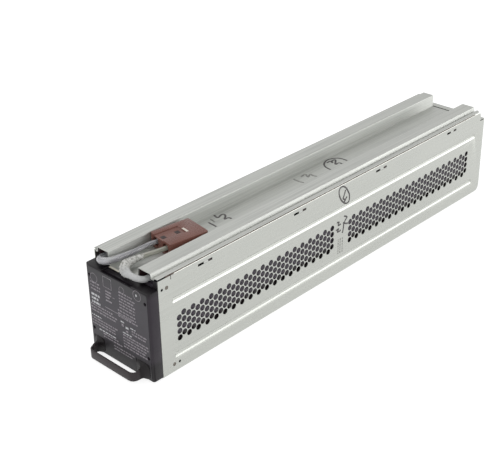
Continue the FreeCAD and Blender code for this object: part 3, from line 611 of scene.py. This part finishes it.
# Thicknesses are shares of the lead's radius, and places along it are shares of its length.
jacketShape = {"thick": 1.06, "slimmer": 0.36, "slimFrom": 0.3, "slimOver": 0.5, "swell": 0.03, "core": 0.66}
sleeveShape = {"end": 0.83, "thick": 0.82, "slack": 0.4, "slackFrom": 0.46, "slackOver": 0.1,
               "closedAt": 1.04, "closesOver": 0.2, "folds": 0.05, "slackFolds": 0.15, "crumple": 0.3,
               "crease": 0.4, "wire": 0.6}
wrinkles = {  # how many along and round, and a shift that makes each its own
    "swell": (14, 1, 0), "folds": (9, 2.4, 0), "crumple": (34, 1.3, 9), "crease": (60, 3, 4),
}


def housingPoint(u, v, z):
    yaw = math.radians(connector["yaw"])
    x, y = connector["middle"]
    return at(x + u * math.cos(yaw) + v * math.sin(yaw), y - u * math.sin(yaw) + v * math.cos(yaw), z)


def leadLine(lead):  # evenly placed points on the smooth line through the route
    height = channelFloor + connector["height"] / 2
    side = lead["pole"] * connector["poleSide"]
    front = -connector["length"] / 2
    route = [at(x, y, channelFloor + rise) for x, y, rise in lead["route"]]
    route.append(housingPoint(side, front - connector["straight"], height))
    route.append(housingPoint(side, front + connector["barrelStart"], height))
    carrier = linked("leadLine", smoothLine("leadLine", route))
    mesh = bpy.data.meshes.new_from_object(carrier)
    line = [vertex.co.copy() for vertex in mesh.vertices]
    bpy.data.objects.remove(carrier)
    bpy.data.meshes.remove(mesh)
    return line


def tubeAlong(name, line, radiusAt, sides=28):
    # A closed tube: radiusAt takes the share of the way along and the angle round.
    total = sum((b - a).length for a, b in zip(line, line[1:]))
    vertices, faces, places = [], [], []
    side = Vector((0, 0, 1))
    gone = 0
    for index, point in enumerate(line):
        ahead = line[min(index + 1, len(line) - 1)] - line[max(index - 1, 0)]
        ahead.normalize()
        side = (side - ahead * side.dot(ahead)).normalized()
        other = ahead.cross(side)
        if index:
            gone += (point - line[index - 1]).length
        for step in range(sides):
            angle = 2 * math.pi * step / sides
            radius = radiusAt(gone / total, angle)
            vertices.append(point + (side * math.cos(angle) + other * math.sin(angle)) * radius * mm)
            places.append((step / sides, gone / mm / 10))  # the share round, and centimetres along
    for index in range(len(line) - 1):
        for step in range(sides):
            a, b = index * sides + step, index * sides + (step + 1) % sides
            faces.append((a, b, b + sides, a + sides))
    last = (len(line) - 1) * sides
    faces.append(tuple(range(sides))[::-1])
    faces.append(tuple(last + step for step in range(sides)))
    mesh = bpy.data.meshes.new(name)
    mesh.from_pydata(vertices, [], faces)
    layer = mesh.uv_layers.new(name="UVMap")
    for face in mesh.polygons:  # a face from the last side to the first ends at 1, not at 0
        closesRound = len(face.vertices) == 4 and max(places[i][0] for i in face.vertices) > 0.6
        for loop in face.loop_indices:
            u, v = places[mesh.loops[loop].vertex_index]
            layer.data[loop].uv = (1 if closesRound and u == 0 else u, v)
    piece = linked(name, mesh)
    only(piece)
    bpy.ops.object.mode_set(mode="EDIT")
    bpy.ops.mesh.select_all(action="SELECT")
    bpy.ops.mesh.normals_make_consistent(inside=False)
    bpy.ops.object.mode_set(mode="OBJECT")
    smooth(piece, "lead")
    return piece


def wrinkled(kind, share, angle):
    along, about, shift = wrinkles[kind]
    return noise.noise(Vector((share * along, about * math.cos(angle), about * math.sin(angle) + shift)))


def leadTubes(name, lead, line):  # each tube's name, line, radius and finish
    outer = lead["diameter"] / 2
    jacket, sleeve = jacketShape, sleeveShape

    def slimmer(share):  # towards the connector
        gone = min(1, max(0, (share - jacket["slimFrom"]) / jacket["slimOver"]))
        return jacket["thick"] - jacket["slimmer"] * gone

    def jacketRadius(share, angle):
        return outer * (slimmer(share) + jacket["swell"] * wrinkled("swell", share, angle))

    def coreRadius(share, angle):
        return outer * jacket["core"] * slimmer(share)

    def sleeveRadius(share, angle):  # tight round the bend, then slack and crumpled
        along = share / sleeve["end"]
        slack = min(1, max(0, (along - sleeve["slackFrom"]) / sleeve["slackOver"]))
        slack *= min(1, (sleeve["closedAt"] - along) / sleeve["closesOver"])
        folds = (sleeve["folds"] + sleeve["slackFolds"] * slack) * wrinkled("folds", share, angle)
        crumple = sleeve["crumple"] * slack * wrinkled("crumple", share, angle)
        crease = sleeve["crease"] * slack * abs(wrinkled("crease", share, angle))
        return outer * (sleeve["thick"] + sleeve["slack"] * slack + folds + crumple - crease)

    def wireRadius(share, angle):
        return outer * sleeve["wire"]

    if name == "left":
        return [("leadLeft", line, jacketRadius, "clearJacket"),
                ("leadLeftCore", line, coreRadius, "strandedCore")]
    short = line[:int(len(line) * sleeve["end"])]
    return [("leadRight", short, sleeveRadius, "milkySleeve"),
            ("leadRightCore", line, wireRadius, "oliveWire")]


def makeLeads(finishes):
    made = {}
    for name, lead in leads.items():
        line = leadLine(lead)
        tubes = []
        for tube, way, radiusAt, look in leadTubes(name, lead, line):
            tubes.append(tubeAlong(tube, way, radiusAt))
            tubes[-1].data.materials.append(finishes[look])
        piece = joined(tubes, tubes[0].name)
        done(piece, "clear_sleeve", replaced=("lead_" + name,))
        made[name] = (piece, line)
        print("lead", name, "points", len(line))
    return made


# Folded steel: the tray with its round holes, and the cover

holes = {"radius": 3.4, "firstY": 37.9, "lowZ": 37.5, "rowPitch": 7.94, "columnPitch": 6.43, "rows": 4,
         "pairs": 19, "secondField": 42 * 6.43, "sides": 20, "depth": 6, "inset": 0.5}


def holeCutters():
    # One round cutter, repeated up and along, for each half of the staggered columns in both fields.
    columns = []
    for start in (0, holes["secondField"]):
        for column in (0, 1):
            place = at(bodyWidth - holes["inset"], holes["firstY"] + start + column * holes["columnPitch"],
                       holes["lowZ"] + column * holes["rowPitch"] / 2)
            bpy.ops.mesh.primitive_cylinder_add(vertices=holes["sides"], radius=holes["radius"] * mm,
                                                depth=holes["depth"] * mm, location=place,
                                                rotation=(0, math.pi / 2, 0))
            peg = bpy.context.object
            settle(peg)
            repeat(peg, holes["rows"], (0, 0, holes["rowPitch"] * mm))
            repeat(peg, holes["pairs"], (0, 2 * holes["columnPitch"] * mm, 0))
            columns.append(peg)
    return joined(columns, "holeCutters")


beads = {"middles": (19.7, 84.5), "bottomDepth": 1.05, "halfBottom": 1.2, "tilt": 0.65,
         "near": 0.02, "margin": 0.1}


def tiltBeads(tray):
    # Each bead's flat bottom leans back towards its top, so that it catches the light from behind.
    for vertex in tray.data.vertices:
        if abs(abs(vertex.co.x) - trayHigh.x + beads["bottomDepth"] * mm) > beads["near"] * mm:
            continue
        for middle in beads["middles"]:
            above = vertex.co.z / mm - middle + beads["halfBottom"]
            if -beads["margin"] < above < 2 * beads["halfBottom"] + beads["margin"]:
                lean = beads["tilt"] * above / (2 * beads["halfBottom"]) * mm
                vertex.co.x -= math.copysign(lean, vertex.co.x)


def makeTray(finishes):
    tray = copyOfNode("tray_shell", "trayDressed")
    tiltBeads(tray)
    cut(tray, holeCutters())
    smooth(tray, "tray")
    done(tray, "galvanised_steel", finishes["traySteel"], replaced=("tray_shell",))
    print("tray faces", len(tray.data.polygons))


def makeCover(finishes):
    cover = copyOfNode("top_cover", "coverDressed")
    smooth(cover, "cover")
    done(cover, "galvanised_steel", finishes["coverSteel"], replaced=("top_cover",))
    print("cover faces", len(cover.data.polygons))


# Mouldings: front, handle, connector and the film on the front

mouldings = {  # piece, finish, slot, width of its rounded edges
    "front_bezel": ("frontDressed", "blackPlastic", "black_plastic", 0.3),
    "pull_handle": ("handleDressed", "handlePlastic", "handle_plastic", 0.2),
    "connector_housing": ("connectorDressed", "brownPlastic", "connector_plastic", 0.45),
    "front_label": ("labelDressed", "labelFilm", "label_film", 0.0),
}
sharpFrom = 50  # degrees between the faces at an edge that is rounded


def makeMouldings(finishes):
    made = {}
    for node, (name, look, slot, edge) in mouldings.items():
        piece = copyOfNode(node, name)
        if edge:
            apply(piece, "BEVEL", width=edge * mm, segments=2, limit_method="ANGLE", use_clamp_overlap=False,
                  angle_limit=math.radians(sharpFrom))
        smooth(piece, "moulding")
        done(piece, slot, finishes[look], replaced=(node,))
        made[node] = piece
    print("mouldings made:", len(made))
    return made


# Print on the label: rows of dashes, bars and rings, with nothing to read

labelPrint = {
    "dashes": (1.4, 5.0), "gap": 1.0, "ragged": 0.25, "spare": 0.01,
    "ringWidth": 0.25, "ringFlatness": 0.08,
    "rows": [  # ink, from, to, lowest, highest, pitch, height of a dash
        ("inkDim", 6, 21, 75, 86, 3.9, 1.7), ("inkBright", 6, 19, 59, 72, 4.6, 2.6),
        ("inkDim", 50, 74, 71, 91, 3.6, 1.5), ("inkDim", 47, 76, 57, 69, 3.5, 1.6),
        ("inkDim", 3.5, 46, 47.5, 59, 3.5, 1.6), ("inkBright", 3.5, 19, 44.2, 45.6, 3.0, 1.2),
        ("inkDim", 3.5, 46, 33, 42.5, 3.4, 1.6), ("inkBright", 14, 40, 29.6, 31, 3.0, 1.3),
        ("inkDim", 20, 52, 21.5, 28.5, 3.4, 1.5), ("inkBright", 64, 72, 53, 54.2, 3.0, 1.2),
        ("inkDim", 66, 90, 46, 51.5, 3.5, 1.5), ("inkBright", 52, 68, 42.8, 44.2, 3.0, 1.3),
        ("inkDim", 52, 90, 23, 41.5, 3.5, 1.6), ("inkDim", 36, 68, 14.5, 20.5, 3.4, 1.3),
    ],
    "bars": [  # ink, left, bottom, width, height
        ("inkDim", 29, 82, 9, 1.6), ("inkDim", 29, 78.5, 9, 1.6), ("inkDim", 29, 75, 6, 1.6),
        ("inkDim", 29, 71, 9, 1.8), ("inkDim", 40, 78.5, 3, 0.8), ("inkDim", 27, 62.5, 40, 0.7),
        ("inkDim", 26.5, 87, 13, 0.5), ("inkDim", 26.5, 99, 13, 0.5), ("inkDim", 26.5, 87, 0.5, 12),
        ("inkDim", 39, 87, 0.5, 12), ("inkDim", 50.5, 60, 4, 1.2), ("inkBright", 50, 55, 5, 1.6),
        ("inkDim", 51, 50.5, 3, 3), ("inkBright", 57, 50, 4.5, 2.4), ("inkDim", 57, 46, 3.5, 1.6),
        ("inkBright", 76, 96, 2.2, 2.2),
    ],
    "rings": [("inkDim", 12, 91, 5.2), ("inkDim", 55, 94, 3.6), ("inkDim", 78, 97, 5.6)],
}


def onLabel(x, z):
    place = at(x, 0, z)
    place.y = labelFace
    return place


def makeLabelPrint(finishes):
    chance = random.Random(7)
    marks = []

    def dash(ink, x, z, width, height):
        marks.append(flatMark(finishes[ink], onLabel(x, z), toRight, upward, width, height))

    for ink, start, end, low, high, pitch, height in labelPrint["rows"]:
        z = high - height
        while z >= low - labelPrint["spare"]:
            x = start
            stop = end - chance.uniform(0, labelPrint["ragged"]) * (end - start)
            while x < stop:
                width = min(chance.uniform(*labelPrint["dashes"]), end - x)
                dash(ink, x, z, width, height)
                x += width + labelPrint["gap"]
            z -= pitch
    for bar in labelPrint["bars"]:
        dash(*bar)
    for ink, x, z, radius in labelPrint["rings"]:
        bpy.ops.mesh.primitive_torus_add(location=onLabel(x, z), rotation=(math.pi / 2, 0, 0),
                                         major_radius=radius * mm, major_segments=32,
                                         minor_radius=labelPrint["ringWidth"] * mm, minor_segments=6)
        ring = bpy.context.object
        ring.scale.z = labelPrint["ringFlatness"]
        ring.data.materials.append(finishes[ink])
        marks.append(ring)
    piece = joined(marks, "labelPrint")
    settle(piece)
    done(piece, "label_film")
    print("label marks", len(marks))


# Marker strokes left by hand: loops and zigzags, on the channel and on the side

pen = {"radius": 1.15, "flatness": 0.1}
strokes = {
    "marker": [
        ("channel", ((46, 331), (38, 331), (29, 338), (25, 349), (29, 359), (36, 364), (45, 363))),
        ("channel", ((31, 342), (29, 350), (37, 346), (31, 350), (32, 358), (42, 343), (40, 354), (46, 352))),
        ("channel", ((32, 143), (45, 142))),
        ("channel", ((24.5, 159), (34, 155), (28.5, 166), (34, 168), (40.5, 158), (39, 166), (44.5, 166))),
        ("side", ((305, 98), (306, 91), (303, 87.5), (298, 88.5), (291.5, 94), (287, 102), (286, 109),
                  (289, 112.5), (294.5, 112), (301, 106), (305, 98))),
        ("side", ((298, 106), (295.5, 99), (293, 96.5), (299, 93), (295, 91), (301, 96.5))),
        ("side", ((284, 69), (289.5, 69.5), (284.5, 64), (291, 65))),
        ("side", ((282.5, 59.5), (289.5, 61.5), (283, 55.5), (291.5, 57))),
        ("side", ((296.5, 73), (304, 70), (298.5, 67), (297, 62.5), (304, 61))),
        ("side", ((294, 52), (297, 57.5), (296, 65.5))),
    ],
    "paleMarker": [
        ("channel", ((30, 283), (40, 281.5), (45, 284))),
        ("channel", ((33, 293), (29.5, 304), (41, 296), (34.5, 307), (43, 304), (45, 307))),
        ("channel", ((28.5, 150), (36.5, 148))),
    ],
}
smallRows = {"ink": "paleMarker", "starts": (286.5, 290, 294), "low": 27, "high": 45, "width": 1.3,
             "heights": (1.2, 3.4), "gap": 0.9}


def stroke(face, line):  # a round line, pressed flat on its face
    if face == "channel":
        places = [at(u, v, channelFloor) for u, v in line]
        axis, level = 2, channelFloor * mm
    else:
        places = [at(bodyWidth, u, v) for u, v in line]
        axis, level = 0, trayHigh.x
    curve = smoothLine("stroke", places)
    curve.bevel_depth = pen["radius"] * mm
    curve.bevel_resolution = 1
    only(linked("stroke", curve))
    bpy.ops.object.convert(target="MESH")
    mark = bpy.context.object
    for vertex in mark.data.vertices:
        vertex.co[axis] = level + (vertex.co[axis] - level) * pen["flatness"]
    return mark


def makeStrokes(finishes):
    marks = []
    for ink, lines in strokes.items():
        for face, line in lines:
            marks.append(stroke(face, line))
            marks[-1].data.materials.append(finishes[ink])
    chance = random.Random(3)
    for start in smallRows["starts"]:
        z = smallRows["low"]
        while z < smallRows["high"]:
            tall = chance.uniform(*smallRows["heights"])
            marks.append(flatMark(finishes[smallRows["ink"]], at(bodyWidth, start, z), toRear, upward,
                                  smallRows["width"], tall))
            z += tall + smallRows["gap"]
    piece = joined(marks, "markerStrokes")
    settle(piece)
    done(piece, "galvanised_steel")
    print("strokes", len(marks))


# Small parts: the front's screws, marks on the steel, dark boards of painted shade in the rails' mouths,
# patches of painted shade and a pale bar on the connector

panScrew = {"head": 3.6, "flatness": 0.62, "recess": (2.3, 1.1, 0.55), "turned": 20, "shank": 2.2,
            "length": 6.0, "sides": (5.5, 89.5), "heights": (28.6, 92.2), "seat": 10.1, "sunk": 0.1}


def panHeadScrew(x, z):
    bpy.ops.mesh.primitive_uv_sphere_add(segments=24, ring_count=12, radius=panScrew["head"] / 2 * mm)
    head = bpy.context.object
    head.scale = (1, panScrew["flatness"], 1)
    settle(head)
    for vertex in head.data.vertices:  # the back is flat
        vertex.co.y = min(vertex.co.y, 0)
    top = -panScrew["head"] / 2 * panScrew["flatness"] * mm
    for turn in (0, math.pi / 2):
        bpy.ops.mesh.primitive_cube_add(size=1, location=(0, top, 0),
                                        rotation=(0, math.radians(panScrew["turned"]) + turn, 0))
        recess = bpy.context.object
        recess.scale = [measure * mm for measure in panScrew["recess"]]
        cut(head, recess)
    bpy.ops.mesh.primitive_cylinder_add(vertices=16, radius=panScrew["shank"] / 2 * mm,
                                        depth=panScrew["length"] * mm, rotation=(math.pi / 2, 0, 0),
                                        location=(0, panScrew["length"] / 2 * mm, 0))
    screw = joined([head, bpy.context.object], "screw")
    screw.location = at(x, panScrew["seat"] - panScrew["sunk"], z)
    settle(screw)
    smooth(screw, "screw")
    return screw


def makeScrews(finishes):
    screws = [panHeadScrew(x, z) for x in panScrew["sides"] for z in panScrew["heights"]]
    piece = joined(screws, "bezelScrewsDressed")
    done(piece, "zinc_screw", finishes["zincPlate"], replaced=("bezel_screws",))
    print("screws made:", len(screws))


dimples = {"radius": 2.19, "thickness": 0.04, "floor": 0.2, "places": ((23.6, 102.5), (28.3, 9.7))}
gaps = {"start": 80.8, "height": 107.5, "pitch": 143.7, "count": 4, "size": (4.6, 2.4)}
lip = {"corner": (22.6, 10.2, 103.85), "size": (17.5, 2.6), "proud": 0.04}
seam = {"from": 22, "to": 560, "height": 114.5, "width": 0.6}


def makeSteelMarks(finishes):
    # Darker brown-grey discs in the dimples, near black patches of painted shade where gaps lie behind the
    # hook tabs, the channel's pale lip and the side's seam.
    marks = []
    for y, z in dimples["places"]:
        bpy.ops.mesh.primitive_cylinder_add(vertices=24, radius=dimples["radius"] * mm,
                                            depth=dimples["thickness"] * mm, rotation=(0, math.pi / 2, 0),
                                            location=at(bodyWidth - dimples["floor"], y, z))
        marks.append(bpy.context.object)
        marks[-1].data.materials.append(finishes["dimpleDark"])
    for number in range(gaps["count"]):
        corner = at(bodyWidth, gaps["start"] + number * gaps["pitch"], gaps["height"])
        marks.append(flatMark(finishes["paintedShadeBlack"], corner, toRear, upward, *gaps["size"]))
    marks.append(flatMark(finishes["linerFilm"], at(*lip["corner"]), toRight, toRear, *lip["size"],
                          lip["proud"]))
    marks.append(flatMark(finishes["seam"], at(bodyWidth, seam["from"], seam["height"]), toRear, upward,
                          seam["to"] - seam["from"], seam["width"]))
    piece = joined(marks, "marksOnSteel")
    settle(piece)
    done(piece, "galvanised_steel")
    print("marks on the steel:", len(marks))


mouthShadeBoards = [  # low and high corners of thin dark boards of painted shade, two inside the left rail and two inside the right
    ((7.2, 14.0, 103.9), (7.5, 74.0, 118.1)), ((7.2, 14.0, 117.8), (20.9, 74.0, 118.1)),
    ((67.9, 14.0, 103.9), (68.2, 74.0, 118.1)), ((67.9, 14.0, 117.8), (83.4, 74.0, 118.1)),
]


def makeMouthShadeBoards(finishes):
    boards = []
    for low, high in mouthShadeBoards:
        width, length, thickness = (b - a for a, b in zip(low, high))
        boards.append(flatMark(finishes["mouthShade"], at(low[0], low[1], (low[2] + high[2]) / 2),
                               toRight, toRear, width, length, thickness / 2))
    piece = joined(boards, "mouthShadeBoards")
    settle(piece)
    done(piece, "liner_film")
    print("films in the rails:", len(boards))


# Near black plates of painted shade, down in the connector's two holes.
holeShade = {"drop": 1.4, "places": ((-4.6, -21.6), (-4.4, -4.2)), "size": (5.6, 5.4), "proud": 0.06}
# A pale bar on the connector's top, at the trough's rear end.
paleBar = {"place": (-3.2, 5.0), "size": (9.2, 2.6), "proud": 0.15}


def makeConnectorPatches(finishes):
    yaw = math.radians(connector["yaw"])
    across, ahead = Vector((math.cos(yaw), -math.sin(yaw), 0)), Vector((math.sin(yaw), math.cos(yaw), 0))
    top = channelFloor + connector["height"]
    patches = [flatMark(finishes["paintedShadeBlack"], housingPoint(u, v, top - holeShade["drop"]), across, ahead,
                        *holeShade["size"], holeShade["proud"]) for u, v in holeShade["places"]]
    patches.append(flatMark(finishes["paleBarFinish"], housingPoint(*paleBar["place"], top), across, ahead,
                            *paleBar["size"], paleBar["proud"]))
    piece = joined(patches, "connectorTopPatches")
    settle(piece)
    done(piece, "connector_plastic")
    print("connector's inserts:", len(patches))
    return piece


carriedOver = {  # CAD nodes that keep their shape under a new finish
    "handle_screws": "zincPlate", "connector_contact_left": "silveredCopper",
    "connector_contact_right": "silveredCopper", "connector_springs": "silveredCopper",
    "lead_left_inner": "leadInsulation", "lead_right_inner": "leadInsulation", "base_liner": "linerFilm",
    "top_insulator": "linerFilm", "front_foam_pad": "softFoam", "rear_foam_pad": "softFoam",
    "battery": "batteryCase", "jumper": "bootSleeve",  # every node whose name starts so
}


def dressCarriedOver(finishes):
    dressed = 0
    for node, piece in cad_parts.items():
        look = carriedOver.get(node) or carriedOver.get(node.split("_")[0])
        if look:
            piece.data.materials.clear()
            piece.data.materials.append(finishes[look])
            dressed += 1
    print("nodes carried over:", dressed)


makeCamera()
makeStudio()
finishes = makeFinishes()
leadPieces = makeLeads(finishes)
makeTray(finishes)
makeCover(finishes)
mouldingPieces = makeMouldings(finishes)
makeLabelPrint(finishes)
makeStrokes(finishes)
makeScrews(finishes)
makeSteelMarks(finishes)
makeMouthShadeBoards(finishes)
patches = makeConnectorPatches(finishes)
dressCarriedOver(finishes)
bpy.context.scene.view_settings.view_transform = "Standard"
